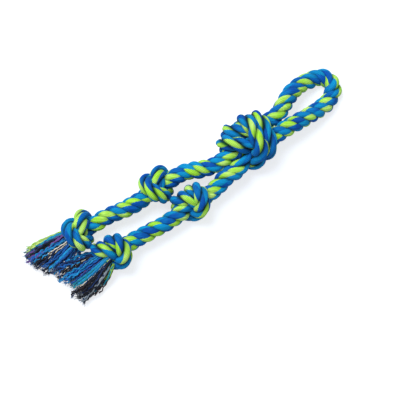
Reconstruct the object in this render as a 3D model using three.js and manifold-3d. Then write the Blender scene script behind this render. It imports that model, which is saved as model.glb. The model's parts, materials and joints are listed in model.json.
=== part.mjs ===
// A rope dog toy: one cotton rope doubled back into a handle loop, then both ropes tied in a big overhand
// knot, then two legs, each with an overhand knot half way, another at its end and a frayed tassel.
// Millimetres. +X runs from the tassels to the handle, +Z is up, and the toy lies on the plane z = 0.
import * as THREE from 'three';
import { mergeVertices } from 'three/addons/utils/BufferGeometryUtils.js';
import Module from 'manifold-3d';

const wasm = await Module();
wasm.setup();

// Driving sizes
const ropeDiameter = 25;
const singleSqueezeShare = 0.67; // how thick the rope stays inside a tight knot of one rope
const doubleSqueezeShare = 0.75; // and inside the doubled main knot
const turnGap = 1; // clear space between two turns of a knot
const ropeGap = 1; // clear space between the two ropes where they leave the main knot
const faceGap = 0.3; // clear space where two pieces meet
const flatShare = 0.1; // depth of the flat that the rope rests on
const handleLength = 110; // from the pivots to the middle of the rope at the tip
const handleWidth = 52; // across the loop, between the middles of its two ropes
const legClearance = 2; // between the two legs where they come closest
const handleAside = 3; // how far to the side of the main knot's middle the handle leaves it
const legsAside = -9; // and the legs
const kneeDrift = 2; // how far to its side the seam between the middle knots lies
const toeDrift = 9; // and the seam between the end knots
const tasselDrift = 14; // and the seam between the tassels
const legs = {
  a: {
    side: 1,
    upperLength: 64, // from the pivot to the middle knot
    lowerLength: 63, // from the pivot to the end knot
    tasselLength: 45, // from the pivot to the mean tip of the yarn
    tasselWidth: 52,
    tasselThickness: 20,
    middleKnot: { hand: -1, turn: 195 },
    endKnot: { hand: -1, turn: 215 },
  },
  b: {
    side: -1,
    upperLength: 37,
    lowerLength: 69,
    tasselLength: 49,
    tasselWidth: 64,
    tasselThickness: 20,
    middleKnot: { hand: 1, turn: 195 },
    endKnot: { hand: 1, turn: 215 },
  },
};

// How the knots lie: the hand of the knot, and its turn round the rope in degrees.
const mainKnotTurn = 215;

const ropeRadius = ropeDiameter / 2;
const flatDepth = ropeDiameter * flatShare;
const exitOffset = ropeRadius + ropeGap / 2;

// Knots are worked out in units of one squeezed rope with its gap, then scaled to that size.
function knotScale(squeezeShare) {
  const size = ropeDiameter * squeezeShare + turnGap;
  const squeezed = (ropeRadius * squeezeShare) / size;
  return { size, full: ropeRadius / size, squeezed, gap: turnGap / size };
}
const single = knotScale(singleSqueezeShare);
const double = knotScale(doubleSqueezeShare);

// Knot shape: the shares of lengths here are of a knot's unit, one squeezed rope with its gap
const looseReachShare = 4; // from the centre of the loose knot to its ends
const looseWidthShare = 0.75;
const looseHeightShare = 0.6;
const looseDepthShare = 1.5;
const looseEndShare = 2.1; // how far the loose knot's parameter runs each way
const looseRiseShare = 2.2; // centres the loose knot on its ends
const singleReachShare = 1.9; // from a single knot's centre to its end faces
const doubleReachShare = 2.5;
const straightEndShare = 0.5; // length at each end that stays straight
const swellStartShare = 0.35; // from the end face to where the rope starts to narrow
const swellLengthShare = 1.2;
const bendRadiusShare = 0.6; // tightest bend of the centreline
const relaxStepShare = 0.3;
const contactRangeShare = 1.7; // how far apart two points may be and still be watched for contact
const looseRounds = 900;
const doubleRounds = 1000;
const finalRounds = 450;
const pullShare = 0.4; // how far each point is drawn to its neighbours' middle in one round
const pushShare = 0.12; // how far two points in contact are pushed apart in one pass
const pushPasses = 4;
const contactRounds = 10; // how long a list of the points that might touch is kept

// Facets
const sides = 8;
const ringStepShare = 0.36; // along a knot, in knot units
const stretchSteps = 4;
const loopSteps = 26;
const weldDistance = 0.0001;
const ballSegments = 12;
const ballRings = 3;
const tasselRings = 6;
const tasselPoints = 24;
const tufts = 6; // bunches of yarn that the tassel's outline swells over
const grooveShare = 0.12;
const raggedShare = 0.08;
const raggedWaves = 5;

// The handle's centreline, by hand: shares of its length along X and of its width along Y.
const handleShares = [
  [0.06, 0.35], [0.18, 0.47], [0.3, 0.6], [0.42, 0.7], [0.56, 0.76], [0.74, 0.755], [0.89, 0.68],
  [0.98, 0.52], [1, 0.32], [0.98, 0.13], [0.9, -0.02], [0.8, -0.13], [0.66, -0.2], [0.48, -0.235],
  [0.28, -0.235], [0.12, -0.215], [0.04, -0.2],
];

const royalBlue = '#0b4fc4';
const azure = '#1486cf';
const lime = '#a6dc34';
const navy = '#12365e';

// Gives the same line in equal steps of about the length asked for.
function respaced(line, step) {
  const at = [0];
  for (let i = 1; i < line.length; i += 1) at.push(at[i - 1] + line[i].distanceTo(line[i - 1]));
  const total = at[at.length - 1];
  const count = Math.max(3, Math.round(total / step));
  const out = [];
  let k = 0;
  for (let i = 0; i <= count; i += 1) {
    const s = (total * i) / count;
    while (k < at.length - 2 && at[k + 1] < s) k += 1;
    out.push(line[k].clone().lerp(line[k + 1], (s - at[k]) / (at[k + 1] - at[k])));
  }
  return out;
}

// The rope's radius along a knot, from its size at both end faces to its squeezed size inside.
function radiusAt(fromEnd, { full, squeezed }) {
  const way = Math.min(1, Math.max(0, (fromEnd - swellStartShare) / swellLengthShare));
  return full + (squeezed - full) * (0.5 - 0.5 * Math.cos(Math.PI * way));
}

// Every point of the knot's ropes, and every two that might touch, with the distance they have to keep.
function contacts(ropes, scale) {
  const spots = [];
  ropes.forEach((rope, line) => rope.forEach((point, i) => {
    const fromEnd = Math.min(i, rope.length - 1 - i) * relaxStepShare;
    const held = fromEnd < straightEndShare;
    spots.push({ point, line, i, held, radius: radiusAt(fromEnd, scale), push: new THREE.Vector3() });
  }));
  const touching = [];
  spots.forEach((a, n) => spots.slice(n + 1).forEach((b) => {
    const same = a.line === b.line;
    if (same && b.i - a.i < 2) return;
    if ((a.held && b.held) || a.point.distanceTo(b.point) > contactRangeShare) return;
    let apart = a.radius + b.radius + scale.gap;
    if (same) {
      const arc = ((b.i - a.i) * relaxStepShare) / (2 * bendRadiusShare);
      apart = Math.min(apart, 2 * bendRadiusShare * Math.sin(Math.min(arc, Math.PI / 2)));
    }
    touching.push({ a, b, apart });
  }));
  return { spots, touching };
}

// Pushes apart all points that are too close, each by the sum of what its neighbours ask.
function pushedApart({ spots, touching }) {
  for (const { a, b, apart } of touching) {
    const away = a.point.clone().sub(b.point);
    const distance = away.length();
    if (distance >= apart) continue;
    away.multiplyScalar((pushShare * (apart - distance)) / distance);
    a.push.add(away);
    b.push.sub(away);
  }
  for (const spot of spots) {
    if (!spot.held) spot.point.add(spot.push);
    spot.push.set(0, 0, 0);
  }
}

// Pulls the ropes tight: each is drawn straight, pushed off what it touches, and held at its ends.
function tightened(lines, scale, rounds) {
  let ropes = lines;
  let knot = null;
  for (let round = 0; round < rounds; round += 1) {
    if (round % contactRounds === 0) {
      ropes = ropes.map((line) => respaced(line, relaxStepShare));
      knot = contacts(ropes, scale);
    }
    const pull = pullShare * Math.min(1, (4 * (rounds - round)) / rounds);
    const held = Math.ceil(straightEndShare / relaxStepShare);
    for (const rope of ropes) {
      const drawn = rope.map((point, i) => {
        if (i < held || i >= rope.length - held) return point;
        return rope[i - 1].clone().add(rope[i + 1]).multiplyScalar(0.5).lerp(point, 1 - pull);
      });
      drawn.forEach((point, i) => rope[i].copy(point));
    }
    for (let pass = 0; pass < pushPasses; pass += 1) pushedApart(knot);
  }
  return ropes;
}

// A loose overhand knot as a smooth line along X: x, y and z are polynomials of one parameter.
function looseOverhand() {
  const count = 80;
  const ends = [looseReachShare, looseReachShare - straightEndShare];
  const line = ends.map((x) => new THREE.Vector3(-x, 0, 0));
  for (let i = 0; i <= count; i += 1) {
    const t = looseEndShare * ((2 * i) / count - 1);
    line.push(new THREE.Vector3(
      looseWidthShare * (t ** 3 - 3 * t),
      looseHeightShare * (t ** 4 - 4 * t ** 2 + looseRiseShare),
      looseDepthShare * (t ** 5 / 5 - 2 * t),
    ));
  }
  return [...line, ...ends.reverse().map((x) => new THREE.Vector3(x, 0, 0))];
}

// Cuts a knot's line where it leaves the reach, and gives it straight ends at the offsets asked for.
function trimmed(line, reach, startOffset, endOffset) {
  const first = line.findIndex((p) => p.x > straightEndShare - reach);
  const last = line.length - 1 - [...line].reverse().findIndex((p) => p.x < reach - straightEndShare);
  return [
    new THREE.Vector3(-reach, startOffset, 0),
    new THREE.Vector3(straightEndShare - reach, startOffset, 0),
    ...line.slice(first + 1, last),
    new THREE.Vector3(reach - straightEndShare, endOffset, 0),
    new THREE.Vector3(reach, endOffset, 0),
  ];
}

// Two ropes side by side along one line: they start and end beside each other along Y.
function sideBySide(line) {
  const points = respaced(line, relaxStepShare);
  const across = [];
  const along = points.map((p, i) => points[Math.min(points.length - 1, i + 1)].clone()
    .sub(points[Math.max(0, i - 1)]).normalize());
  let side = new THREE.Vector3(0, 1, 0);
  along.forEach((tangent) => {
    side = side.clone().addScaledVector(tangent, -side.dot(tangent)).normalize();
    across.push(side);
  });
  const last = points.length - 1;
  const closing = Math.atan(along[last].clone().cross(across[last]).y / across[last].y);
  return [1, -1].map((way) => points.map((p, i) => {
    const offset = across[i].clone().applyAxisAngle(along[i], (closing * i) / last);
    return p.clone().addScaledVector(offset, way / 2);
  }));
}

// Turns a point round the X axis.
function turned(point, degrees) {
  return point.applyAxisAngle(new THREE.Vector3(1, 0, 0), THREE.MathUtils.degToRad(degrees));
}

const evenSingle = { ...single, full: single.squeezed };
const looseKnot = tightened([looseOverhand()], evenSingle, looseRounds)[0];
const singleKnot = tightened([trimmed(looseKnot, singleReachShare, 0, 0)], single, finalRounds)[0];

// The doubled knot starts as two ropes inside a single knot of twice the thickness.
const thickKnot = looseKnot.map((p) => turned(p.clone(), mainKnotTurn).multiplyScalar(2 + 2 * double.gap));
const sideShare = exitOffset / double.size;
const evenDouble = { ...double, full: double.squeezed };
const pairedKnot = tightened(sideBySide(thickKnot), evenDouble, doubleRounds).map((line) => trimmed(
  line,
  doubleReachShare,
  Math.sign(line[0].y) * sideShare + legsAside / double.size,
  Math.sign(line[line.length - 1].y) * sideShare + handleAside / double.size,
));
const doubledKnot = tightened(pairedKnot, double, finalRounds);

// A knot's centreline in millimetres about its own centre, with the rope's radius at each point.
function knotRope(line, scale, { hand = 1, turn = 0 } = {}) {
  const fine = respaced(line, ringStepShare);
  return fine.map((p, i) => ({
    middle: turned(new THREE.Vector3(p.x, p.y, hand * p.z), turn).multiplyScalar(scale.size),
    radius: radiusAt(Math.min(i, fine.length - 1 - i) * ringStepShare, scale) * scale.size,
  }));
}

const reachAlong = (rope, direction) => Math.max(...rope.map((p) => p.middle.dot(direction) + p.radius));
const down = new THREE.Vector3(0, 0, -1);

// The least space between two turns, or two ropes, of a knot.
function leastGap(ropes, scale) {
  const ownTurn = Math.PI * bendRadiusShare * scale.size;
  let least = Infinity;
  const compare = (rope, other) => rope.forEach((a, i) => other.forEach((b, j) => {
    if (rope === other && (j - i) * ringStepShare * scale.size < ownTurn) return;
    least = Math.min(least, a.middle.distanceTo(b.middle) - a.radius - b.radius);
  }));
  ropes.forEach((rope, r) => ropes.slice(r).forEach((other) => compare(rope, other)));
  return least;
}

// A closed body through rings of points, each ring an array of the same length, with flat ends.
function bodyOfRings(rings) {
  const around = rings[0].length;
  const index = [];
  for (let r = 0; r < rings.length - 1; r += 1) {
    for (let s = 0; s < around; s += 1) {
      const a = r * around + s;
      const b = r * around + ((s + 1) % around);
      index.push(a, b, b + around, a, b + around, a + around);
    }
  }
  const last = (rings.length - 1) * around;
  for (let s = 1; s < around - 1; s += 1) {
    index.push(0, s + 1, s, last, last + s, last + s + 1);
  }
  const body = new THREE.BufferGeometry().setFromPoints(rings.flat());
  body.setIndex(index);
  return body;
}

// A round body along a line whose thickness changes: each ring stands square to the line.
function sweptRope(rope) {
  let side = new THREE.Vector3(0, 1, 0);
  return bodyOfRings(rope.map(({ middle, radius }, i) => {
    const along = rope[Math.min(rope.length - 1, i + 1)].middle.clone()
      .sub(rope[Math.max(0, i - 1)].middle).normalize();
    side = side.clone().addScaledVector(along, -side.dot(along)).normalize();
    return Array.from({ length: sides }, (_, s) => middle.clone().addScaledVector(
      side.clone().applyAxisAngle(along, ((s + 0.5) / sides) * 2 * Math.PI), radius));
  }));
}

function toSolid(geometry) {
  const plain = geometry.index ? geometry.clone() : geometry;
  plain.deleteAttribute('normal');
  plain.deleteAttribute('uv');
  const merged = mergeVertices(plain, weldDistance);
  return new wasm.Manifold(new wasm.Mesh({
    numProp: 3,
    vertProperties: new Float32Array(merged.attributes.position.array),
    triVerts: new Uint32Array(merged.index.array),
  }));
}

function toGeometry(solid) {
  const { vertProperties, triVerts } = solid.getMesh();
  const geometry = new THREE.BufferGeometry();
  geometry.setAttribute('position', new THREE.BufferAttribute(new Float32Array(vertProperties), 3));
  geometry.setIndex(new THREE.BufferAttribute(new Uint32Array(triVerts), 1));
  geometry.computeVertexNormals();
  return geometry;
}

// A straight or gently bent run of rope from one point to another, leaving and arriving along X.
function runBetween(start, end) {
  const lean = new THREE.Vector3((end.x - start.x) / 3, 0, 0);
  return new THREE.CubicBezierCurve3(start, start.clone().add(lean), end.clone().sub(lean), end);
}

// Rope of full thickness along a curve, with a round end at each pivot that it turns on.
function freeRope(curve, steps, pivots) {
  const section = new THREE.Shape(Array.from({ length: sides }, (_, s) => {
    const angle = ((s + 0.5) / sides) * 2 * Math.PI;
    return new THREE.Vector2(Math.cos(angle), Math.sin(angle)).multiplyScalar(ropeRadius);
  }));
  const settings = { steps, bevelEnabled: false, extrudePath: curve };
  return pivots.reduce((solid, { x, y, z }) => {
    const ball = new THREE.SphereGeometry(ropeRadius, ballSegments, ballSegments / 2);
    return solid.add(toSolid(ball.translate(x, y, z)));
  }, toSolid(new THREE.ExtrudeGeometry(section, settings)));
}

// A tassel fans out from a round end at its pivot to a wide, flat and ragged brush of yarn.
function tassel(pivot, tip, leg) {
  const ease = (share) => share * share * (3 - 2 * share);
  const ring = (x, share, width, height) => Array.from({ length: tasselPoints }, (_, n) => {
    const angle = (n / tasselPoints) * 2 * Math.PI;
    const groove = 1 + grooveShare * share * Math.cos(tufts * angle);
    const ragged = 1 + raggedShare * share * Math.sin(raggedWaves * angle + leg.side);
    return new THREE.Vector3(
      pivot.x + x * ragged,
      pivot.y + (tip.y - pivot.y) * ease(share) + width * groove * Math.cos(angle),
      pivot.z + (tip.z - pivot.z) * ease(share) - height * groove * Math.sin(angle),
    );
  });
  const rings = [];
  for (let i = 1; i <= ballRings; i += 1) {
    const angle = ((i - 0.5) / ballRings) * (Math.PI / 2);
    const radius = ropeRadius * Math.sin(angle);
    rings.push(ring(ropeRadius * Math.cos(angle), 0, radius, radius));
  }
  for (let i = 0; i <= tasselRings; i += 1) {
    const share = i / tasselRings;
    const width = ropeRadius + (leg.tasselWidth / 2 - ropeRadius) * ease(share);
    const height = ropeRadius + (leg.tasselThickness / 2 - ropeRadius) * ease(share);
    rings.push(ring(-leg.tasselLength * share, share, width, height));
  }
  return toSolid(bodyOfRings(rings));
}

const toy = new THREE.Group();
const mainRopes = doubledKnot.map((line) => knotRope(line, double));
const mainHalf = doubleReachShare * double.size;
const singleHalf = singleReachShare * single.size;
const pivotOffset = faceGap + ropeRadius;
const axisHeight = (ropes) => Math.max(...ropes.map((rope) => reachAlong(rope, down))) - flatDepth;
const mainHeight = axisHeight(mainRopes);
const room = 2 * (mainHalf + handleLength + Math.max(...Object.values(legs).map((leg) => (
  leg.upperLength + leg.lowerLength + leg.tasselLength + 4 * singleHalf))));
const underFloor = toSolid(new THREE.BoxGeometry(2 * room, room, room).translate(0, 0, -room / 2));

// Adds one piece to the toy, cut flat where it would reach below the floor.
function addPiece(name, solid, colour) {
  const material = new THREE.MeshStandardMaterial({ color: colour, roughness: 0.85, metalness: 0 });
  const mesh = new THREE.Mesh(toGeometry(solid.subtract(underFloor)), material);
  mesh.name = name;
  toy.add(mesh);
}

function addKnot(name, rope, centre, colour) {
  const placed = rope.map(({ middle, radius }) => ({ middle: middle.clone().add(centre), radius }));
  addPiece(name, toSolid(sweptRope(placed)), colour);
}

// The main knot: rope a is the one that runs on into leg a.
const mainCentre = new THREE.Vector3(0, 0, mainHeight);
mainRopes.forEach((rope) => {
  const isA = rope[0].middle.y > 0;
  addKnot(isA ? 'main_knot_rope_a' : 'main_knot_rope_b', rope, mainCentre, isA ? royalBlue : lime);
});

// The handle: the rope's bight, hanging from the main knot down to the floor at its tip.
const loopStart = new THREE.Vector3(mainHalf + pivotOffset, handleAside + exitOffset, mainHeight);
const loopEnd = loopStart.clone().setY(handleAside - exitOffset);
const tipHeight = ropeRadius - flatDepth;
const loopMiddle = handleShares.map(([along, across]) => new THREE.Vector3(
  loopStart.x + along * handleLength,
  across * handleWidth,
  tipHeight + (mainHeight - tipHeight) * (0.5 + 0.5 * Math.cos(Math.PI * along)),
));
const loopCurve = new THREE.CatmullRomCurve3([loopStart, ...loopMiddle, loopEnd], false, 'centripetal');
addPiece('handle_loop', freeRope(loopCurve, loopSteps, [loopStart, loopEnd]), azure);

const pivots = { handle_lift: loopStart };
Object.entries(legs).forEach(([letter, leg]) => {
  const inward = new THREE.Vector3(0, -leg.side, 0);
  const middleRope = knotRope(singleKnot, single, leg.middleKnot);
  const endRope = knotRope(singleKnot, single, leg.endKnot);
  // A knot's axis lies just far enough to its own side of the seam between the legs.
  const axisAt = (rope, drift) => drift + leg.side * (reachAlong(rope, inward) + legClearance / 2);

  const top = new THREE.Vector3(-mainHalf - pivotOffset, legsAside + leg.side * exitOffset, mainHeight);
  const upperEnd = new THREE.Vector3(
    top.x - leg.upperLength,
    axisAt(middleRope, kneeDrift),
    axisHeight([middleRope]),
  );
  const middleCentre = upperEnd.clone().setX(upperEnd.x - faceGap - singleHalf);
  const knee = middleCentre.clone().setX(middleCentre.x - singleHalf - pivotOffset);
  const lowerEnd = new THREE.Vector3(
    knee.x - leg.lowerLength,
    axisAt(endRope, toeDrift),
    axisHeight([endRope]),
  );
  const endCentre = lowerEnd.clone().setX(lowerEnd.x - faceGap - singleHalf);
  const toe = endCentre.clone().setX(endCentre.x - singleHalf - pivotOffset);
  const tip = new THREE.Vector3(
    toe.x - leg.tasselLength,
    tasselDrift + (leg.side * (leg.tasselWidth + legClearance)) / 2,
    leg.tasselThickness / 2 - flatDepth,
  );

  addPiece(`upper_rope_${letter}`, freeRope(runBetween(top, upperEnd), stretchSteps, [top]), azure);
  addKnot(`middle_knot_${letter}`, middleRope, middleCentre, royalBlue);
  addPiece(`lower_rope_${letter}`, freeRope(runBetween(knee, lowerEnd), stretchSteps, [knee]), azure);
  addKnot(`end_knot_${letter}`, endRope, endCentre, lime);
  addPiece(`tassel_${letter}`, tassel(toe, tip, leg), navy);
  pivots[`leg_${letter}_swing`] = top;
  pivots[`leg_${letter}_bend`] = knee;
  pivots[`tassel_${letter}_flop`] = toe;
});

// The origin is the middle of the footprint, on the floor.
const box = new THREE.Box3().setFromObject(toy);
const middle = box.getCenter(new THREE.Vector3()).setZ(box.min.z);
toy.children.forEach((piece) => piece.geometry.translate(-middle.x, -middle.y, -middle.z));

const shown = (v) => v.toArray().map((value) => value.toFixed(3)).join(', ');
console.log('size', shown(box.getSize(new THREE.Vector3())));
console.log('main knot centre', shown(mainCentre.sub(middle)));
console.log('main knot least gap', leastGap(mainRopes, double).toFixed(3));
console.log('single knot least gap', leastGap([knotRope(singleKnot, single)], single).toFixed(3));
Object.entries(pivots).forEach(([name, pivot]) => console.log(name, shown(pivot.clone().sub(middle))));

export default toy;
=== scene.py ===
import json
import math
import random

import bpy
import numpy as np
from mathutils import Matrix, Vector


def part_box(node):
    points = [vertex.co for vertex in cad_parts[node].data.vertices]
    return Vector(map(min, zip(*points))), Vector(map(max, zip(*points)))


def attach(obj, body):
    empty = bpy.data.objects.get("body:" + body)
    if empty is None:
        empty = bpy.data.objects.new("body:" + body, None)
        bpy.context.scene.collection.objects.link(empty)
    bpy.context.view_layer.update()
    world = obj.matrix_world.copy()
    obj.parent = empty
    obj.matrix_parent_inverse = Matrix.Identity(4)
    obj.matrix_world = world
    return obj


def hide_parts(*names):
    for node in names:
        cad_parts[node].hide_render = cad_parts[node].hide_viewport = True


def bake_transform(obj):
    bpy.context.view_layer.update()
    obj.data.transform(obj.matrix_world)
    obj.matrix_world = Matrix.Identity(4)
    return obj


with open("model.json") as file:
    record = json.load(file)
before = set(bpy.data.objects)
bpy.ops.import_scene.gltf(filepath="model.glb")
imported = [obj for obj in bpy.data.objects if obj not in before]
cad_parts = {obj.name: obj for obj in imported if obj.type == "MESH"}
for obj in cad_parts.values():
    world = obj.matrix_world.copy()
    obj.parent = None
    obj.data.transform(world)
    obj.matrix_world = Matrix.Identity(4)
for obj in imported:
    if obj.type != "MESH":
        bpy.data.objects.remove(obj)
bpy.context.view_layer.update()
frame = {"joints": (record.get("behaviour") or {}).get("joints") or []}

# A rope dog toy, in metres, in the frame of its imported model: one three-strand cotton rope, doubled into
# a handle loop and a big overhand knot, with two legs that each have two knots and a frayed tassel.

mm = 0.001

photo = {
    "azimuth": -35,          # degrees, as the photograph looks at the toy
    "elevation": 75,
    "target": (-0.01, -0.0322, 0.015),
    "distance": 3.0,
    "widthSeen": 0.64,       # metres across the picture at the target
    "clipEnd": 20,
}


def addCamera():
    azimuth, elevation = math.radians(photo["azimuth"]), math.radians(photo["elevation"])
    back = Vector((math.sin(azimuth) * math.cos(elevation), -math.cos(azimuth) * math.cos(elevation),
                   math.sin(elevation)))
    data = bpy.data.cameras.new("photoCamera")
    data.lens = data.sensor_width * photo["distance"] / photo["widthSeen"]
    data.clip_end = photo["clipEnd"]
    camera = bpy.data.objects.new("photoCamera", data)
    camera.location = Vector(photo["target"]) + back * photo["distance"]
    camera.rotation_mode = "QUATERNION"
    camera.rotation_quaternion = (-back).to_track_quat("-Z", "Y")
    bpy.context.scene.collection.objects.link(camera)
    bpy.context.scene.camera = camera
    return back


towardsCamera = addCamera()
bpy.context.scene.view_settings.view_transform = "Standard"
print("camera placed")


def linearColour(text):
    channels = [int(text[i:i + 2], 16) / 255 for i in (1, 3, 5)]
    return tuple(c / 12.92 if c <= 0.04045 else ((c + 0.055) / 1.055) ** 2.4 for c in channels) + (1.0,)


def addNode(tree, kind, settings, inputs):
    node = tree.nodes.new(kind)
    for name, value in settings.items():
        setattr(node, name, value)
    for key, value in inputs.items():
        if isinstance(value, bpy.types.NodeSocket):
            tree.links.new(value, node.inputs[key])
        else:
            node.inputs[key].default_value = value
    return node


def newCotton(name, finish, sheen):
    material = bpy.data.materials.new(name)
    material.use_nodes = True
    shader = material.node_tree.nodes["Principled BSDF"]
    for socket, value in finish.items():
        shader.inputs[socket].default_value = value
    shader.inputs["Sheen Tint"].default_value = linearColour(sheen)
    return material, material.node_tree, shader


def crownsOf(tree, phase):
    # 1 on the crown of each yarn and 0 in the groove beside it, for a phase that counts yarns.
    half = addNode(tree, "ShaderNodeMath", {"operation": "MULTIPLY"}, {0: phase, 1: math.pi})
    wave = addNode(tree, "ShaderNodeMath", {"operation": "SINE"}, {0: half.outputs[0]})
    return addNode(tree, "ShaderNodeMath", {"operation": "ABSOLUTE"}, {0: wave.outputs[0]}).outputs[0]


noiseRange = (0.3, 0.7)   # where most of the values of a noise texture lie

ropeYarn = {
    "across": 14,            # yarns round one ply, about 2.5 mm each
    "turnLength": 52,        # millimetres of ply in which a yarn goes once round it, against the lay
    "roundness": 0.6,        # below 1 for a crown that is broad beside its groove
    "paintedGrooveShadeTo": (0.15, 0.75),   # where on the way to its crown the painted groove shade gives way
    "yarnShade": (0.86, 1.1),   # the darkest and the lightest yarn, against the dye
    "fibreLength": 9,        # millimetres of one streak of fibres
    "fibresAcross": 70,      # round one ply
    "fibreShade": (0.88, 1.1),
    "fibreHeight": 0.35,     # against that of a yarn
    "patchSize": 26,         # millimetres of one patch of stronger or weaker dye
    "patchRange": (0.38, 0.66),   # of the noise, from the one dye to the other
    "bumpStrength": 0.7,
    "bumpDepth": 0.32,       # millimetres from the crown of a yarn to the groove beside it
    # Shares of the rope's radius, for painted shade. Little light comes below the first, deep between the
    # strands, where the colour is painted dark, and all of it beyond the second, out on their crowns.
    "paintedDaylight": (0.61, 0.99),
    "finish": {"Roughness": 0.82, "IOR": 1.5, "Specular IOR Level": 0.15, "Sheen Weight": 0.1,
               "Sheen Roughness": 0.4},
}


def ropeCotton(name, base, second, groove, paintedShadow, sheen):
    # Dyed cotton yarn, ring spun and loosely twisted: matt and soft, with fine lines of painted shade along
    # each ply and painted shade deep between the strands, a paler bloom of loose fibre at grazing angles,
    # and dye that takes unevenly.
    material, tree, shader = newCotton(name, ropeYarn["finish"], sheen)
    place = addNode(tree, "ShaderNodeUVMap", {"uv_map": "plyLay"}, {})
    split = addNode(tree, "ShaderNodeSeparateXYZ", {}, {0: place.outputs[0]})
    along = split.outputs[0]
    around = addNode(tree, "ShaderNodeMath", {"operation": "MULTIPLY_ADD"},
                     {0: along, 1: -1 / ropeYarn["turnLength"], 2: split.outputs[1]}).outputs[0]
    phase = addNode(tree, "ShaderNodeMath", {"operation": "MULTIPLY"},
                    {0: around, 1: float(ropeYarn["across"])})
    crown = addNode(tree, "ShaderNodeMath", {"operation": "POWER"},
                    {0: crownsOf(tree, phase.outputs[0]), 1: ropeYarn["roundness"]})

    yarn = addNode(tree, "ShaderNodeMath", {"operation": "FLOOR"}, {0: phase.outputs[0]})
    tint = addNode(tree, "ShaderNodeTexWhiteNoise", {"noise_dimensions": "1D"}, {"W": yarn.outputs[0]})
    fibresAlong = addNode(tree, "ShaderNodeMath", {"operation": "MULTIPLY"},
                          {0: along, 1: 1 / ropeYarn["fibreLength"]})
    fibresAround = addNode(tree, "ShaderNodeMath", {"operation": "MULTIPLY"},
                           {0: around, 1: float(ropeYarn["fibresAcross"])})
    streaks = addNode(tree, "ShaderNodeCombineXYZ", {},
                      {0: fibresAlong.outputs[0], 1: fibresAround.outputs[0]})
    fibre = addNode(tree, "ShaderNodeTexNoise", {},
                    {"Vector": streaks.outputs[0], "Scale": 1.0, "Detail": 3.0})
    yarnShade = addNode(tree, "ShaderNodeMapRange", {},
                        {"Value": tint.outputs[0], "To Min": ropeYarn["yarnShade"][0],
                         "To Max": ropeYarn["yarnShade"][1]})
    fibreShade = addNode(tree, "ShaderNodeMapRange", {},
                         {"Value": fibre.outputs[0], "From Min": noiseRange[0], "From Max": noiseRange[1],
                          "To Min": ropeYarn["fibreShade"][0], "To Max": ropeYarn["fibreShade"][1]})
    shade = addNode(tree, "ShaderNodeMath", {"operation": "MULTIPLY"},
                    {0: yarnShade.outputs[0], 1: fibreShade.outputs[0]})

    spot = addNode(tree, "ShaderNodeTexCoord", {}, {})
    patch = addNode(tree, "ShaderNodeTexNoise", {},
                    {"Vector": spot.outputs["Object"], "Scale": 1 / (ropeYarn["patchSize"] * mm),
                     "Detail": 2.0})
    strength = addNode(tree, "ShaderNodeMapRange", {},
                       {"Value": patch.outputs[0], "From Min": ropeYarn["patchRange"][0],
                        "From Max": ropeYarn["patchRange"][1]})
    dyed = addNode(tree, "ShaderNodeMix", {"data_type": "RGBA"},
                   {0: strength.outputs[0], 6: linearColour(base), 7: linearColour(second)})
    lit = addNode(tree, "ShaderNodeVectorMath", {"operation": "SCALE"},
                  {0: dyed.outputs[2], "Scale": shade.outputs[0]})
    # Painted shade: in the groove between two yarns the colour goes to the darker groove colour.
    outOfPaintedGrooveShade = addNode(tree, "ShaderNodeMapRange", {},
                          {"Value": crown.outputs[0], "From Min": ropeYarn["paintedGrooveShadeTo"][0],
                           "From Max": ropeYarn["paintedGrooveShadeTo"][1]})
    surface = addNode(tree, "ShaderNodeMix", {"data_type": "RGBA"},
                      {0: outOfPaintedGrooveShade.outputs[0], 6: linearColour(groove), 7: lit.outputs[0]})
    # Painted shade: the deeper a point lies below the strands' crowns, the nearer its colour comes to the
    # painted shadow colour.
    outward = addNode(tree, "ShaderNodeAttribute", {"attribute_name": "shareOfRadius"}, {})
    paintedDaylight = addNode(tree, "ShaderNodeMapRange", {"interpolation_type": "SMOOTHSTEP"},
                       {"Value": outward.outputs["Fac"], "From Min": ropeYarn["paintedDaylight"][0],
                        "From Max": ropeYarn["paintedDaylight"][1]})
    colour = addNode(tree, "ShaderNodeMix", {"data_type": "RGBA"},
                     {0: paintedDaylight.outputs[0], 6: linearColour(paintedShadow), 7: surface.outputs[2]})
    height = addNode(tree, "ShaderNodeMath", {"operation": "MULTIPLY_ADD"},
                     {0: fibre.outputs[0], 1: ropeYarn["fibreHeight"], 2: crown.outputs[0]})
    bump = addNode(tree, "ShaderNodeBump", {},
                   {"Strength": ropeYarn["bumpStrength"], "Distance": ropeYarn["bumpDepth"] * mm,
                    "Height": height.outputs[0]})
    tree.links.new(colour.outputs[2], shader.inputs["Base Color"])
    tree.links.new(bump.outputs[0], shader.inputs["Normal"])
    return material


# Each dye's fourth colour is painted shade in the grooves between yarns, and its fifth is the painted
# shadow deep between the strands.
limeCotton = ropeCotton("limeCottonYarn", "#aeee40", "#d4fe88", "#48a038", "#034a1e", "#f6ffd8")
royalCotton = ropeCotton("royalBlueCottonYarn", "#0254b4", "#0382cc", "#023c80", "#01203a", "#9cd0ff")
azureCotton = ropeCotton("azureCottonYarn", "#049ad4", "#0480c8", "#04609c", "#01384c", "#b0e8ff")
ropeColours = [limeCotton, royalCotton, azureCotton]

looseYarn = {
    "threads": 2,
    "turnLength": 5,         # millimetres in which the threads of a yarn go once round each other
    # Painted shade: darkest in the groove between the two threads, lightest on their crowns.
    "paintedThreadShade": (0.6, 1.08),
    "patchSize": 2.857,      # millimetres of one patch of stronger or weaker dye
    "patchShade": (0.78, 1.2),
    "bumpStrength": 0.7,
    "bumpDepth": 0.3,        # millimetres
    "sheen": "#c8dcff",
    "finish": {"Roughness": 0.85, "IOR": 1.5, "Specular IOR Level": 0.25, "Sheen Weight": 0.25,
               "Sheen Roughness": 0.4},
}


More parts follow.
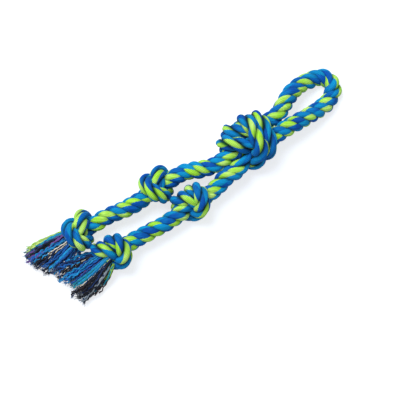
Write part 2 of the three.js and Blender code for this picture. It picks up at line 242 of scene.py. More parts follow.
def tasselCotton(name):
    # The same cotton yarn where the rope is unlaid: two threads twisted together, with painted shade
    # between them, duller and more hairy.
    material, tree, shader = newCotton(name, looseYarn["finish"], looseYarn["sheen"])
    place = addNode(tree, "ShaderNodeUVMap", {"uv_map": "plyLay"}, {})
    split = addNode(tree, "ShaderNodeSeparateXYZ", {}, {0: place.outputs[0]})
    twist = addNode(tree, "ShaderNodeMath", {"operation": "MULTIPLY"},
                    {0: split.outputs[0], 1: looseYarn["threads"] / looseYarn["turnLength"]})
    phase = addNode(tree, "ShaderNodeMath", {"operation": "MULTIPLY_ADD"},
                    {0: split.outputs[1], 1: float(looseYarn["threads"]), 2: twist.outputs[0]})
    crown = crownsOf(tree, phase.outputs[0])
    dye = addNode(tree, "ShaderNodeAttribute", {"attribute_name": "yarnColour"}, {})
    spot = addNode(tree, "ShaderNodeTexCoord", {}, {})
    patch = addNode(tree, "ShaderNodeTexNoise", {},
                    {"Vector": spot.outputs["Object"], "Scale": 1 / (looseYarn["patchSize"] * mm),
                     "Detail": 2.0})
    # Painted shade: darker in the groove between the two twisted threads.
    paintedThreadShade = addNode(tree, "ShaderNodeMapRange", {},
                          {"Value": crown, "To Min": looseYarn["paintedThreadShade"][0],
                           "To Max": looseYarn["paintedThreadShade"][1]})
    patchShade = addNode(tree, "ShaderNodeMapRange", {},
                         {"Value": patch.outputs[0], "From Min": noiseRange[0], "From Max": noiseRange[1],
                          "To Min": looseYarn["patchShade"][0], "To Max": looseYarn["patchShade"][1]})
    shade = addNode(tree, "ShaderNodeMath", {"operation": "MULTIPLY"},
                    {0: paintedThreadShade.outputs[0], 1: patchShade.outputs[0]})
    colour = addNode(tree, "ShaderNodeVectorMath", {"operation": "SCALE"},
                     {0: dye.outputs["Color"], "Scale": shade.outputs[0]})
    bump = addNode(tree, "ShaderNodeBump", {},
                   {"Strength": looseYarn["bumpStrength"], "Distance": looseYarn["bumpDepth"] * mm,
                    "Height": crown})
    tree.links.new(colour.outputs[0], shader.inputs["Base Color"])
    tree.links.new(bump.outputs[0], shader.inputs["Normal"])
    return material


frayedCotton = tasselCotton("frayedCottonYarn")
print("materials made")

# The rope's route, in millimetres. The sizes are the part's own, and the knots are pulled tight as there.
rope = {
    "diameter": 25,
    "gap": 1,                # between the two ropes where they leave the main knot
    "turnGap": 1,            # between two turns of a knot
    "seamGap": 0.3,          # between a knot and the free stretch that goes on from it
    "singleSqueeze": 0.67,   # how thick the rope stays inside a knot of one rope
    "doubleSqueeze": 0.75,   # and inside the doubled main knot
    "handleAside": 3,        # how far to the side of the main knot's middle the handle leaves it
    "legsAside": -9,         # and the legs
    "runPoints": 12,         # in a free stretch of a leg
    "curvePoints": 8,        # from one point of the route to the next
}
handle = {
    "length": 110,
    "width": 52,
    "tipHeight": 10,
    # Round the loop from the main knot: shares of the length along it and of the width across.
    "shares": [
        (0.06, 0.35), (0.18, 0.47), (0.3, 0.6), (0.42, 0.7), (0.56, 0.76), (0.74, 0.755), (0.89, 0.68),
        (0.98, 0.52), (1, 0.32), (0.98, 0.13), (0.9, -0.02), (0.8, -0.13), (0.66, -0.2), (0.48, -0.235),
        (0.28, -0.235), (0.12, -0.215), (0.04, -0.2),
    ],
}
# How far each knot is turned about its rope, in degrees, and whether it is mirrored.
knotTurns = {
    "main_knot": {"turn": 215},
    "middle_knot_a": {"hand": -1, "turn": 195},
    "end_knot_a": {"hand": -1, "turn": 215},
    "middle_knot_b": {"hand": 1, "turn": 195},
    "end_knot_b": {"hand": 1, "turn": 215},
}

# In knots, lengths are shares of one squeezed rope with its gap.
knotShape = {
    "looseReach": 4, "looseWidth": 0.75, "looseHeight": 0.6, "looseDepth": 1.5,
    "looseEnd": 2.1, "looseRise": 2.2, "loosePoints": 81,
    "singleReach": 1.9, "doubleReach": 2.5, "straightEnd": 0.5,
    "swellStart": 0.35, "swellLength": 1.2,
    "bendRadius": 0.6, "step": 0.3, "contactRange": 1.7,
    "looseRounds": 900, "doubleRounds": 1000, "finalRounds": 450, "contactRounds": 10,
    "pull": 0.4, "push": 0.12, "pushPasses": 4,
    "easing": 4,             # the pull eases off over the last quarter of the rounds
}


def unit(vectors):
    return vectors / np.linalg.norm(vectors, axis=1, keepdims=True)


def lengthsAlong(points):
    return np.concatenate([[0], np.cumsum(np.linalg.norm(np.diff(points, axis=0), axis=1))])


def respaced(points, step):
    at = lengthsAlong(points)
    stops = np.linspace(0, at[-1], max(3, round(at[-1] / step)) + 1)
    return np.stack([np.interp(stops, at, points[:, axis]) for axis in range(3)], 1)


def turnedRoundX(points, degrees):
    cosine, sine = math.cos(math.radians(degrees)), math.sin(math.radians(degrees))
    return points @ np.array([[1, 0, 0], [0, cosine, sine], [0, -sine, cosine]])


def knotScale(squeeze):
    size = rope["diameter"] * squeeze + rope["turnGap"]
    return {"size": size, "gap": rope["turnGap"] / size, "full": rope["diameter"] / 2 / size,
            "squeezed": rope["diameter"] / 2 * squeeze / size}


def contacts(ropes, scale):
    # Every two points that might touch, how far apart they have to stay, and which points may move.
    shape = knotShape
    points = np.vstack(ropes)
    number = np.concatenate([np.arange(len(line)) for line in ropes])
    owner = np.concatenate([np.full(len(line), n) for n, line in enumerate(ropes)])
    fromEnd = np.minimum(number, np.concatenate([np.arange(len(line))[::-1] for line in ropes]))
    way = np.clip((fromEnd * shape["step"] - shape["swellStart"]) / shape["swellLength"], 0, 1)
    radius = scale["full"] + (scale["squeezed"] - scale["full"]) * (0.5 - 0.5 * np.cos(math.pi * way))
    free = fromEnd * shape["step"] >= shape["straightEnd"]
    a, b = np.triu_indices(len(points), 1)
    near = np.linalg.norm(points[a] - points[b], axis=1) <= shape["contactRange"]
    near &= (free[a] | free[b]) & ((owner[a] != owner[b]) | (number[b] - number[a] >= 2))
    a, b = a[near], b[near]
    apart = radius[a] + radius[b] + scale["gap"]
    arc = np.abs(number[b] - number[a]) * shape["step"] / (2 * shape["bendRadius"])
    chord = 2 * shape["bendRadius"] * np.sin(np.minimum(arc, math.pi / 2))
    apart = np.where(owner[a] == owner[b], np.minimum(apart, chord), apart)
    sums = np.zeros((len(points), len(a)))
    sums[a, np.arange(len(a))] = free[a]
    sums[b, np.arange(len(b))] = -1.0 * free[b]
    return points, free[:, None], owner, a, b, apart, sums


def tightened(ropes, scale, rounds):
    # Draws the ropes straight and pushes them off what they touch, again and again, their ends held.
    for turn in range(rounds):
        if turn % knotShape["contactRounds"] == 0:
            ropes = [respaced(line, knotShape["step"]) for line in ropes]
            points, free, owner, a, b, apart, sums = contacts(ropes, scale)
        pull = knotShape["pull"] * min(1, knotShape["easing"] * (rounds - turn) / rounds)
        between = points.copy()
        between[1:-1] = (points[:-2] + points[2:]) / 2
        points = np.where(free, points + (between - points) * pull, points)
        for _ in range(knotShape["pushPasses"]):
            away = points[a] - points[b]
            distance = np.linalg.norm(away, axis=1)
            force = np.maximum(0, knotShape["push"] * (apart - distance) / distance)
            points = points + sums @ (away * force[:, None])
        ropes = [points[owner == n] for n in range(len(ropes))]
    return ropes


def looseOverhand():
    # The usual polynomials of a trefoil, with the ends led straight out along X.
    shape = knotShape
    t = shape["looseEnd"] * np.linspace(-1, 1, shape["loosePoints"])
    middle = np.stack([shape["looseWidth"] * (t ** 3 - 3 * t),
                       shape["looseHeight"] * (t ** 4 - 4 * t ** 2 + shape["looseRise"]),
                       shape["looseDepth"] * (t ** 5 / 5 - 2 * t)], 1)
    ends = np.array([[shape["looseReach"], 0, 0], [shape["looseReach"] - shape["straightEnd"], 0, 0]])
    return np.vstack([-ends, middle, ends[::-1]])


def trimmed(points, reach, startSide, endSide):
    # The knot cut off at its two faces, where each end is short and straight and lies that far aside.
    inner = reach - knotShape["straightEnd"]
    first = int(np.argmax(points[:, 0] > -inner))
    last = len(points) - 1 - int(np.argmax(points[::-1, 0] < inner))
    return np.vstack([[[-reach, startSide, 0], [-inner, startSide, 0]], points[first + 1:last],
                      [[inner, endSide, 0], [reach, endSide, 0]]])


def sideBySide(points):
    # Two ropes along one line, which start and end beside each other along Y.
    points = respaced(points, knotShape["step"])
    steps = np.vstack([points[1:2] - points[:1], points[2:] - points[:-2], points[-1:] - points[-2:-1]])
    along = unit(steps)
    across, side = [], np.array([0.0, 1.0, 0.0])
    for tangent in along:
        side = side - tangent * side.dot(tangent)
        side = side / np.linalg.norm(side)
        across.append(side)
    across = np.array(across)
    closing = math.atan(np.cross(along[-1], across[-1])[1] / across[-1][1])
    angle = closing * np.linspace(0, 1, len(points))[:, None]
    offset = across * np.cos(angle) + np.cross(along, across) * np.sin(angle)
    return [points + offset / 2, points - offset / 2]


def tieKnots():
    single, double = knotScale(rope["singleSqueeze"]), knotScale(rope["doubleSqueeze"])
    evenSingle, evenDouble = dict(single, full=single["squeezed"]), dict(double, full=double["squeezed"])
    loose = tightened([looseOverhand()], evenSingle, knotShape["looseRounds"])[0]
    one = tightened([trimmed(loose, knotShape["singleReach"], 0, 0)], single, knotShape["finalRounds"])[0]
    thick = turnedRoundX(loose, knotTurns["main_knot"]["turn"]) * (2 + 2 * double["gap"])
    side = (rope["diameter"] + rope["gap"]) / 2 / double["size"]
    pair = [trimmed(line, knotShape["doubleReach"],
                    math.copysign(side, line[0][1]) + rope["legsAside"] / double["size"],
                    math.copysign(side, line[-1][1]) + rope["handleAside"] / double["size"])
            for line in tightened(sideBySide(thick), evenDouble, knotShape["doubleRounds"])]
    two = tightened(pair, double, knotShape["finalRounds"])
    return one * single["size"], [line * double["size"] for line in two]


singleKnot, (mainKnotA, mainKnotB) = tieKnots()
print("knots tied")

pivots = {joint["name"]: np.array(joint["pos_m"]) / mm for joint in frame["joints"]}


def middleAlong(node):
    low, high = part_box(node)
    return (low.x + high.x) / 2 / mm


def knotRoute(node, axisPoint):
    points = turnedRoundX(singleKnot * (1, 1, knotTurns[node]["hand"]), knotTurns[node]["turn"])
    return points + (middleAlong(node), axisPoint[1], axisPoint[2])


def easyRun(start, end):
    lean = np.array([(end[0] - start[0]) / 3, 0, 0])
    t = np.linspace(0, 1, rope["runPoints"])[:, None]
    return ((1 - t) ** 3 * start + 3 * (1 - t) ** 2 * t * (start + lean)
            + 3 * (1 - t) * t ** 2 * (end - lean) + t ** 3 * end)


def legRoute(letter):
    # From the tassel to the main knot.
    swing, knee = pivots[f"leg_{letter}_swing"], pivots[f"leg_{letter}_bend"]
    endKnot = knotRoute(f"end_knot_{letter}", pivots[f"tassel_{letter}_flop"])
    middleKnot = knotRoute(f"middle_knot_{letter}", knee)
    gap = np.array([rope["seamGap"], 0, 0])
    return [endKnot, easyRun(endKnot[-1] + gap, knee), middleKnot, easyRun(middleKnot[-1] + gap, swing)]


mainCentre = pivots["handle_lift"] - (0, rope["handleAside"], 0)
mainCentre[0] = middleAlong("main_knot_rope_a")


def handleRoute():
    pivot = pivots["handle_lift"]
    side = np.array([0, (rope["diameter"] + rope["gap"]) / 2, 0])
    fall = pivot[2] - handle["tipHeight"]
    middle = [(pivot[0] + along * handle["length"], mainCentre[1] + across * handle["width"],
               handle["tipHeight"] + fall * (0.5 + 0.5 * math.cos(math.pi * along)))
              for along, across in handle["shares"]]
    return np.array([pivot - side, *middle[::-1], pivot + side])


def curveThrough(points):
    # A centripetal Catmull-Rom curve.
    points = np.array(points, float)
    ends = np.vstack([2 * points[0] - points[1], points, 2 * points[-1] - points[-2]])
    out = []
    for p0, p1, p2, p3 in zip(ends[:-3], ends[1:-2], ends[2:-1], ends[3:]):
        t1 = np.linalg.norm(p1 - p0) ** 0.5
        t2 = t1 + np.linalg.norm(p2 - p1) ** 0.5
        t3 = t2 + np.linalg.norm(p3 - p2) ** 0.5
        t = np.linspace(t1, t2, rope["curvePoints"], endpoint=False)[:, None]
        a = (t1 - t) / t1 * p0 + t / t1 * p1
        b = (t2 - t) / (t2 - t1) * p1 + (t - t1) / (t2 - t1) * p2
        c = (t3 - t) / (t3 - t2) * p2 + (t - t2) / (t3 - t2) * p3
        d = (t2 - t) / t2 * a + t / t2 * b
        e = (t3 - t) / (t3 - t1) * b + (t - t1) / (t3 - t1) * c
        out.append((t2 - t) / (t2 - t1) * d + (t - t1) / (t2 - t1) * e)
    return np.vstack([*out, points[-1:]])


lay = {
    "step": 1.2,             # millimetres from ring to ring
    "smoothings": 3,         # of the route, over its knots and seams
    "radius": 14,            # over the crowns of the strands
    "singleKnotRadius": 12.7,
    "doubleKnotRadius": 13,
    "squeezeFrom": 5,        # millimetres in from a knot's face
    "squeezeTo": 22,
    "pitch": 48,             # one turn of a strand
    "singleKnotPitch": 58,
    "doubleKnotPitch": 78,
    "strandCentre": 0.52,    # shares of the rope's radius
    "plyCentre": 0.11,
    "plyRadius": 0.4,
    "plyTurns": 2,           # of a ply round its strand, for one turn of the strand
    "strandPhases": (-0.03, 0.03, 0.47),   # how far each strand's colours are turned, in turns
    "evenings": 3,           # times that the side which shows lime is evened out
    "evenedOver": 18,        # and over how many millimetres each time
    # Degrees by which that side leans over, at each seam and at each quarter of the handle.
    "limeLean": {"start": 110, "kneeA": -40, "hipA": 0, "neckA": -10, "handleA": -110, "handleTip": -110,
                 "handleB": -60, "neckB": -10, "hipB": 0, "kneeB": -60, "end": -40},
    "handleStops": {"handleA": 0.25, "handleTip": 0.5, "handleB": 0.75},
    "cordPathEvery": 3,      # rings between two points of a cord's path
    "sides": 18,             # corners round a ply
    "limpEnd": 16,           # millimetres in from an end knot's outer face, where the rope is unlaid
}
# How the hand-made lay wanders: over how many millimetres, and how far.
wanders = {
    "strandTurn": {"seed": 10, "reach": 40, "amount": 0.12},
    "strandCentre": {"seed": 20, "reach": 30, "amount": 0.04},
    "plyPhase": {"seed": 30, "reach": 60, "amount": 0.45},
    "plyRadius": {"seed": 40, "reach": 18, "amount": 0.06},
}
wanderWaves = 3
wanderSpeeds = (0.7, 1.5)
anyPhase = 6.3   # radians: a random wave may start anywhere in a turn

legA, legB = legRoute("a"), legRoute("b")
ropeA, ropeB = mainKnotA + mainCentre, mainKnotB + mainCentre
if ropeA[0][1] < ropeB[0][1]:
    ropeA, ropeB = ropeB, ropeA
sections = [*legA, ropeA, handleRoute(), ropeB[::-1], *[part[::-1] for part in legB[::-1]]]
route = curveThrough(np.vstack(sections))
routeAt = lengthsAlong(route)
spineAt = np.arange(0, routeAt[-1], lay["step"])
spine = np.stack([np.interp(spineAt, routeAt, route[:, axis]) for axis in range(3)], 1)
for _ in range(lay["smoothings"]):
    spine[1:-1] = spine[1:-1] / 2 + (spine[:-2] + spine[2:]) / 4


def stationOf(point):
    return int(np.argmin(np.linalg.norm(spine - point, axis=1)))


# The knots are every second section, and the main knot's two ropes come before and after the handle.
knotFaces = [(stationOf(sections[i][0]), stationOf(sections[i][-1])) for i in (0, 2, 4, 6, 8, 10)]
knotKinds = ("single", "single", "double", "double", "single", "single")
limpStations = round(lay["limpEnd"] / lay["step"])
seams = {
    "start": knotFaces[0][0] + limpStations,
    "kneeA": knotFaces[1][0], "hipA": knotFaces[2][0], "neckA": knotFaces[2][1],
    "neckB": knotFaces[3][0], "hipB": knotFaces[3][1], "kneeB": knotFaces[4][1],
    "end": knotFaces[5][1] - limpStations,
}

ropeRadius = np.full(len(spine), float(lay["radius"]))
pitch = np.full(len(spine), float(lay["pitch"]))
for (first, last), kind in zip(knotFaces, knotKinds):
    i = np.arange(first, last + 1)
    inside = np.minimum(i - first, last - i) * lay["step"]
    way = np.clip((inside - lay["squeezeFrom"]) / (lay["squeezeTo"] - lay["squeezeFrom"]), 0, 1)
    way = way * way * (3 - 2 * way)
    ropeRadius[i] = lay["radius"] + (lay[f"{kind}KnotRadius"] - lay["radius"]) * way
    pitch[i] = lay["pitch"] + (lay[f"{kind}KnotPitch"] - lay["pitch"]) * way
strands, pliesInStrand = 3, 3
strandTurn = np.cumsum(2 * math.pi * lay["step"] / pitch)

tangent = unit(np.gradient(spine, axis=0))
normal = np.zeros_like(spine)
side = np.array([0.0, 1.0, 0.0])
for i, along in enumerate(tangent):
    side = side - along * side.dot(along)
    side /= np.linalg.norm(side)
    normal[i] = side
binormal = np.cross(tangent, normal)


def wander(kind, number):
    # A smooth random drift along the whole rope, of waves that are each shorter and lower than the last.
    one = wanders[kind]
    draw = random.Random(one["seed"] + number)
    i = np.arange(len(spine)) * lay["step"] / one["reach"]
    return one["amount"] * sum(np.sin(i * draw.uniform(*wanderSpeeds) * (n + 1) + draw.uniform(0, anyPhase))
                               / (n + 1) for n in range(wanderWaves))


def limeSideUp():
    # Where the side that the photograph shows lies round the rope: there two strands of three show lime.
    camera = np.array(towardsCamera)
    angle = np.unwrap(np.arctan2(binormal @ camera, normal @ camera))
    span = round(lay["evenedOver"] / lay["step"])
    for _ in range(lay["evenings"]):
        padded = np.concatenate([np.full(span, angle[0]), angle, np.full(span, angle[-1])])
        angle = np.convolve(padded, np.full(2 * span + 1, 1 / (2 * span + 1)), "valid")
    stops = dict(seams)
    for name, share in lay["handleStops"].items():
        stops[name] = seams["neckA"] + (seams["neckB"] - seams["neckA"]) * share
    lean = np.interp(np.arange(len(spine)), [stops[name] for name in lay["limeLean"]],
                     list(lay["limeLean"].values()))
    return angle + np.radians(lean)


def layPlies():
    # Each ply is a line of ring centres, with the way out of its strand, its radius and its colour.
    lime = lay["plyTurns"] * limeSideUp()
    plies = []
    for strand in range(strands):
        start = 2 * math.pi * strand / strands
        turn = strandTurn + start + wander("strandTurn", strand)
        out = normal * np.cos(turn)[:, None] + binormal * np.sin(turn)[:, None]
        reach = lay["strandCentre"] * (1 + wander("strandCentre", strand))
        centre = spine + out * (ropeRadius * reach)[:, None]
        along = unit(np.gradient(centre, axis=0))
        out = unit(out - along * (out * along).sum(1, keepdims=True))
        across = np.cross(along, out)
        for ply in range(pliesInStrand):
            phase = 2 * math.pi * (lay["strandPhases"][strand] + ply / pliesInStrand)
            turned = phase + wander("plyPhase", strand) + lime - lay["plyTurns"] * (strandTurn + start)
            way = out * np.cos(turned)[:, None] + across * np.sin(turned)[:, None]
            middle = centre + way * (ropeRadius * lay["plyCentre"])[:, None]
            thickness = 1 + wander("plyRadius", pliesInStrand * strand + ply)
            plies.append((middle, way, ropeRadius * lay["plyRadius"] * thickness, ply))
    return plies


plies = layPlies()
print("rope laid,", round(len(spine) * lay["step"]), "mm long")

floorRest = {"height": 0.15, "softness": 0.8}   # millimetres


def aboveFloor(points):
    # What would sink into the floor lies flat on it.
    lift = points[..., 2] - floorRest["height"]
    points[..., 2] = floorRest["height"] + (lift + np.sqrt(lift * lift + floorRest["softness"] ** 2)) / 2
    return points


def tubeRings(middle, way, radius, sides):
    # Rings of corners round a line, counted from the side that faces away from way.
    along = unit(np.gradient(middle, axis=0))
    way = unit(way - along * (way * along).sum(1, keepdims=True))
    across = np.cross(along, way)
    angle = 2 * math.pi * np.arange(sides) / sides + math.pi
    return (middle[:, None] + radius[:, None, None] * (way[:, None] * np.cos(angle)[None, :, None]
                                                      + across[:, None] * np.sin(angle)[None, :, None]))


def tubeFaces(base, length, sides):
    # The quads of a tube whose first corner is number base, then the caps at its two ends.
    this, following = np.arange(sides), (np.arange(sides) + 1) % sides
    ring = base + sides * np.arange(length - 1)[:, None]
    quads = np.stack([ring + this, ring + following, ring + sides + following, ring + sides + this], 2)
    startCap = list(range(base + sides - 1, base - 1, -1))
    endCap = list(range(base + sides * (length - 1), base + sides * length))
    return [*quads.reshape(-1, 4).tolist(), startCap, endCap]


def tubePlaces(along, sides):
    # How far along and how far round each corner of those faces lies.
    this = np.arange(sides)
    u0, u1 = along[:-1, None] + 0 * this, along[1:, None] + 0 * this
    v0, v1 = (this / sides) + 0 * u0, ((this + 1) / sides) + 0 * u0
    quad = [np.stack(corner, 2) for corner in ((u0, v0), (u0, v1), (u1, v1), (u1, v0))]
    startCap = np.stack([np.full(sides, along[0]), this[::-1] / sides], 1)
    endCap = np.stack([np.full(sides, along[-1]), this / sides], 1)
    return np.vstack([np.stack(quad, 2).reshape(-1, 2), startCap, endCap])


sharpFrom = 70   # degrees, so only the rims of the caps are sharp


def pieceFromTubes(name, tubes, materials, colours=None, depths=None):
    # One mesh of closed tubes; each tube is its rings, how far along each ring is, and its material.
    vertices, faces, slots, places, tints = [], [], [], [], []
    count = 0
    for number, (rings, along, material) in enumerate(tubes):
        length, sides = rings.shape[:2]
        vertices.append(rings.reshape(-1, 3))
        if colours is not None:
            tints.append(np.repeat(colours[number], sides, axis=0))
        faces.extend(tubeFaces(count, length, sides))
        slots.append(np.full((length - 1) * sides + 2, material))
        places.append(tubePlaces(along, sides))
        count += sides * length
    mesh = bpy.data.meshes.new(name)
    mesh.from_pydata((np.vstack(vertices) * mm).tolist(), [], faces)
    for material in materials:
        mesh.materials.append(material)
    mesh.polygons.foreach_set("material_index", np.concatenate(slots).astype(np.int32))
    mesh.polygons.foreach_set("use_smooth", np.ones(len(mesh.polygons), bool))
    layer = mesh.uv_layers.new(name="plyLay")
    layer.data.foreach_set("uv", np.vstack(places).astype(np.float32).ravel())
    if colours is not None:
        attribute = mesh.color_attributes.new(name="yarnColour", type="FLOAT_COLOR", domain="POINT")
        attribute.data.foreach_set("color", np.vstack(tints).astype(np.float32).ravel())
    if depths is not None:
        attribute = mesh.attributes.new(name="shareOfRadius", type="FLOAT", domain="POINT")
        attribute.data.foreach_set("value", np.concatenate(depths).astype(np.float32))
    mesh.update()
    mesh.set_sharp_from_angle(angle=math.radians(sharpFrom))
    piece = bpy.data.objects.new(name, mesh)
    bpy.context.scene.collection.objects.link(piece)
    return piece


def ropePiece(name, first, last):
    tubes, depths = [], []
    for middle, way, radius, colour in plies:
        rings = tubeRings(middle, way, radius, lay["sides"])[first:last + 1]
        outward = np.linalg.norm(rings - spine[first:last + 1, None], axis=2)
        depths.append((outward / ropeRadius[first:last + 1, None]).ravel())
        tubes.append((aboveFloor(rings), lengthsAlong(middle)[first:last + 1], colour))
    piece = pieceFromTubes(name, tubes, ropeColours, depths=depths)
    print(name, len(piece.data.polygons), "faces,", round((last - first) * lay["step"]), "mm of rope")
    return piece


mainRopeA = ropePiece("mainKnotRopeA", seams["hipA"], seams["neckA"])
mainRopeB = ropePiece("mainKnotRopeB", seams["neckB"], seams["hipB"])
handleRope = ropePiece("handleRope", seams["neckA"], seams["neckB"])
upperA = ropePiece("legUpperRopeA", seams["kneeA"], seams["hipA"])
lowerA = ropePiece("legLowerRopeA", seams["start"], seams["kneeA"])
upperB = ropePiece("legUpperRopeB", seams["hipB"], seams["kneeB"])
lowerB = ropePiece("legLowerRopeB", seams["kneeB"], seams["end"])


def bendAcross(piece):
    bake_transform(piece)


for piece, node in ((mainRopeA, "main_knot_rope_a"), (mainRopeB, "main_knot_rope_b")):
    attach(piece, "main_knot")
    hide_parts(node)
bendAcross(handleRope)
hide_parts("handle_loop")
for letter, upper, lower in (("a", upperA, lowerA), ("b", upperB, lowerB)):
    bendAcross(upper)
    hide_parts(f"upper_rope_{letter}", f"middle_knot_{letter}")
    bendAcross(lower)
    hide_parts(f"lower_rope_{letter}", f"end_knot_{letter}")

dyes = {name: np.array(linearColour(text)) for name, text in {
    "lime": "#9cd040", "paleLime": "#bfe07c", "azure": "#1c8fd0", "royal": "#1a62b8", "teal": "#1592ac",
    "navy": "#163266", "black": "#10121e", "violet": "#7a54a8", "brown": "#33262a", "cream": "#e4dccb",
    "grey": "#8b98a2",
}.items()}


def bunch(root, tip, spread, yarns, colours, radius=0.95, curl=1.0):
    return {"root": root, "tip": tip, "spread": spread, "yarns": yarns, "dyes": colours.split(),
            "radius": radius, "curl": curl}


# Bunches of loose yarn, in millimetres from the end of the laid rope: where each leaves the knot, across
# and up; where its tips lie, along, across and up; and how far those spread, across and up. Then how many
# yarns it has, their colours, the radius of a yarn and how much it curls.
tasselBunches = {
    "a": [
        bunch((0, -4), (-60, 4, -22), (27, 2), 28, "navy black royal"),
        bunch((-12, 3), (-44, -21, -16), (4, 4), 12, "royal navy azure", 1.2, 1.6),
        bunch((-13, 0), (-28, -29, -14), (4, 3), 10, "royal navy azure", 1.3, 1.2),
        bunch((14, 0), (-66, 30, -16), (3, 3), 10, "lime paleLime teal", 1.4, 0.8),
        bunch((11, 5), (-68, 24, -14), (3, 3), 8, "teal azure navy violet", 1.25),
        bunch((8, 8), (-71, 17, -12), (5, 3), 15, "navy black violet navy", 1.15),
        bunch((4, 9), (-70, 10, -11), (4, 3), 13, "royal azure royal", 1.3, 1.6),
        bunch((0, 9), (-68, 2, -12), (6, 3), 15, "black navy black cream"),
        bunch((-4, 9), (-62, -7, -13), (5, 4), 12, "black navy royal royal", 1.2),
        bunch((-8, 9), (-52, -15, -12), (4, 2), 13, "azure azure teal royal", 1.6, 0.5),
    ],
    "b": [
        bunch((0, -4), (-56, 0, -22), (28, 2), 30, "navy black royal"),
        bunch((13, 4), (-68, 30, -13), (4, 3), 13, "royal azure navy", 1.3, 1.8),
        bunch((9, 8), (-67, 21, -12), (5, 3), 14, "black navy cream black"),
        bunch((5, 9), (-66, 12, -11), (4, 3), 13, "azure royal azure", 1.3, 1.7),
        bunch((2, 8), (-60, 4, -12), (5, 4), 12, "navy violet royal", 1.15),
        bunch((-7, 8), (-61, -20, -13), (7, 3), 20, "black navy black brown", 1.15),
        bunch((-10, 5), (-58, -29, -14), (6, 4), 18, "navy black teal grey", 1.2),
        bunch((-13, 1), (-42, -31, -15), (5, 3), 12, "brown black brown", 1.15),
        bunch((-2, 11), (-54, -6, -10), (4, 1.5), 14, "azure teal azure", 1.7, 0.4),
        bunch((-5, 11), (-54, -11, -10), (2, 1), 4, "cream", 0.9, 0.6),
        bunch((-14, 6), (-26, -25, -12), (4, 2), 8, "lime teal", 1.5, 0.6),
    ],
}
yarnShape = {
    "rings": 42,
    "sides": 6,
    "rootScatter": 1.5,
    "rootBack": 9,           # millimetres from there into the knot, where the yarns start
    "tipScatter": 4.5,
    "fanning": 2,            # above 1, a yarn fans out soonest near the knot
    "droop": 1.4,            # and comes down soonest there
    "wander": 2.2,           # millimetres that a yarn drifts to each side
    "wanderTurns": (0.6, 1.3),
    "crimp": 0.9,            # and that it waves, from its time in the rope
    "crimpLength": 12,
    "crimpSpread": (0.8, 1.2),
    "stiffRoot": 0.7,        # how fast the drift and the waves set in
    "dyeStrength": (0.75, 1.2),
    "radiusSpread": (0.8, 1.15),
    "lowest": 1.2,
    "aboutUp": (0.1, 0.2, 1),   # never along a yarn
}
fray = {
    "length": 7,
    "shortest": 0.3,         # share of that length
    "threads": 5,
    "rings": 7,
    "sides": 5,
    "radiusShare": 0.45,     # of the yarn's
    "thinning": 0.5,         # share of that radius that is gone at the tip
    "bendRanges": ((-0.4, 0.3), (-1, 1), (-0.7, 0.7)),
    "swing": 1.6,            # millimetres
    "swingRadians": (3, 8),
    "fading": (0.1, 0.8),    # towards grey at its tip
}


def crimpedPath(draw, root, tip, curl):
    shape = yarnShape
    t = np.linspace(0, 1, shape["rings"])
    path = np.stack([root[0] + (tip[0] - root[0]) * t,
                     root[1] + (tip[1] - root[1]) * (1 - (1 - t) ** shape["fanning"]),
                     tip[2] + (root[2] - tip[2]) * (1 - t) ** shape["droop"]], 1)
    waves = np.linalg.norm(tip - root) / shape["crimpLength"]
    for axis in (1, 2):
        drift = np.sin(2 * math.pi * draw.uniform(*shape["wanderTurns"]) * t + draw.uniform(0, anyPhase))
        crimp = np.sin(2 * math.pi * waves * draw.uniform(*shape["crimpSpread"]) * t
                       + draw.uniform(0, anyPhase))
        path[:, axis] += curl * t ** shape["stiffRoot"] * (shape["wander"] * drift + shape["crimp"] * crimp)
    return path


def yarnTube(path, radius, sides):
    way = np.tile(np.array(yarnShape["aboutUp"]), (len(path), 1))
    return aboveFloor(tubeRings(path, way, radius, sides)), lengthsAlong(path), 0


def frayedThread(draw, yarn, yarnRadius):
    # One of the threads that a yarn's end comes apart into, from its last ring but two.
    steps = np.linspace(0, 1, fray["rings"])[:, None]
    heading = unit(yarn[-1:] - yarn[-4:-3])[0]
    curve = np.array([draw.uniform(*limits) for limits in fray["bendRanges"]])
    swing = np.array([draw.uniform(-1, 1) for _ in range(3)])
    reach = fray["length"] * draw.uniform(fray["shortest"], 1)
    path = yarn[-3] + steps * reach * (heading + curve * steps)
    path = path + swing * fray["swing"] * np.sin(steps * draw.uniform(*fray["swingRadians"]))
    return path, fray["radiusShare"] * yarnRadius * (1 - fray["thinning"] * steps[:, 0]), steps


def tasselPiece(letter, seed):
    draw = random.Random(seed)
    root = spine[seams["start"] if letter == "a" else seams["end"]]
    scatter = yarnShape["rootScatter"]
    tubes, colours = [], []
    for one in tasselBunches[letter]:
        for _ in range(one["yarns"]):
            begin = root + (yarnShape["rootBack"], one["root"][0] + draw.gauss(0, scatter),
                            one["root"][1] + draw.gauss(0, scatter))
            finish = root + (one["tip"][0] + draw.gauss(0, yarnShape["tipScatter"]),
                             one["tip"][1] + draw.uniform(-1, 1) * one["spread"][0],
                             one["tip"][2] + draw.uniform(-1, 1) * one["spread"][1])
            finish[2] = max(finish[2], yarnShape["lowest"])
            path = crimpedPath(draw, begin, finish, one["curl"])
            dye = dyes[draw.choice(one["dyes"])] * draw.uniform(*yarnShape["dyeStrength"])
            radius = one["radius"] * draw.uniform(*yarnShape["radiusSpread"])
            tubes.append(yarnTube(path, np.full(len(path), radius), yarnShape["sides"]))
            colours.append(np.tile(dye, (len(path), 1)))
            for _ in range(fray["threads"]):
                thread, thin, steps = frayedThread(draw, path, radius)
                tubes.append(yarnTube(thread, thin, fray["sides"]))
                colours.append(dye + (dyes["grey"] - dye) * draw.uniform(*fray["fading"]) * steps)
    piece = pieceFromTubes(f"tassel{letter.upper()}", tubes, [frayedCotton], colours)
    print(piece.name, len(tubes), "yarns and threads,", len(piece.data.polygons), "faces")
    bendAcross(piece)
    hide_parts(f"tassel_{letter}")


tasselPiece("a", seed=7)
tasselPiece("b", seed=8)

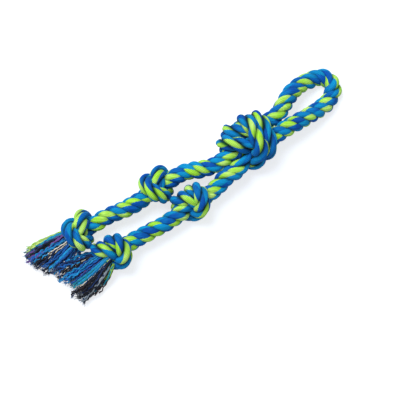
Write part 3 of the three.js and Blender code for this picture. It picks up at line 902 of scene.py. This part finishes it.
studio = {
    # The floor's blue-grey colour is a painted reflection of the blue rope, seen only where the floor is in
    # shade.
    "floor": "#acb6c6",
    "floorSize": 6,          # metres
    "floorDrop": 0.0005,     # below the toy
    "floorGlow": 0.7,        # only what the camera sees, so the floor is as white as a sweep
    "world": 0.42,
    "worldSeen": 1.0,
    "key": 2.6,
    "keyAngle": 38,
    "keyFrom": (-0.15, 0.55, 1.15),   # the upper left of the picture, and above
}


def seenDirectly(tree):
    # 1 for what the camera sees, straight or in or through a surface, and 0 for what only gives light.
    rays = addNode(tree, "ShaderNodeLightPath", {}, {})
    seen = addNode(tree, "ShaderNodeMath", {"operation": "MAXIMUM"},
                   {0: rays.outputs["Is Camera Ray"], 1: rays.outputs["Is Glossy Ray"]})
    return addNode(tree, "ShaderNodeMath", {"operation": "MAXIMUM"},
                   {0: seen.outputs[0], 1: rays.outputs["Is Transmission Ray"]}).outputs[0]


def addFloor():
    # A sweep of pale paper, matt, tinted blue-grey as a painted reflection of the blue rope where it lies
    # in shade.
    material = bpy.data.materials.new("paleSweep")
    material.use_nodes = True
    tree = material.node_tree
    tree.nodes.clear()
    glow = addNode(tree, "ShaderNodeMath", {"operation": "MULTIPLY"},
                   {0: seenDirectly(tree), 1: studio["floorGlow"]})
    matt = addNode(tree, "ShaderNodeBsdfDiffuse", {}, {"Color": linearColour(studio["floor"])})
    light = addNode(tree, "ShaderNodeEmission", {}, {"Strength": glow.outputs[0]})
    both = addNode(tree, "ShaderNodeAddShader", {}, {0: matt.outputs[0], 1: light.outputs[0]})
    addNode(tree, "ShaderNodeOutputMaterial", {}, {"Surface": both.outputs[0]})
    bpy.ops.object.select_all(action="DESELECT")
    bpy.ops.mesh.primitive_plane_add(size=studio["floorSize"], location=(0, 0, -studio["floorDrop"]))
    floor = bpy.context.object
    floor.name = "studioFloor"
    floor.data.materials.append(material)


def addLight():
    world = bpy.data.worlds.new("studioWorld")
    bpy.context.scene.world = world
    world.use_nodes = True
    tree = world.node_tree
    tree.nodes.clear()
    strength = addNode(tree, "ShaderNodeMapRange", {},
                       {"Value": seenDirectly(tree), "To Min": studio["world"],
                        "To Max": studio["worldSeen"]})
    sky = addNode(tree, "ShaderNodeBackground", {},
                  {"Color": linearColour("#ffffff"), "Strength": strength.outputs[0]})
    addNode(tree, "ShaderNodeOutputWorld", {}, {"Surface": sky.outputs[0]})

    lamp = bpy.data.lights.new("softKey", "SUN")
    lamp.energy = studio["key"]
    lamp.angle = math.radians(studio["keyAngle"])
    key = bpy.data.objects.new("softKey", lamp)
    key.rotation_mode = "QUATERNION"
    key.rotation_quaternion = Vector(studio["keyFrom"]).to_track_quat("Z", "Y")
    bpy.context.scene.collection.objects.link(key)


addFloor()
addLight()
print("studio set")
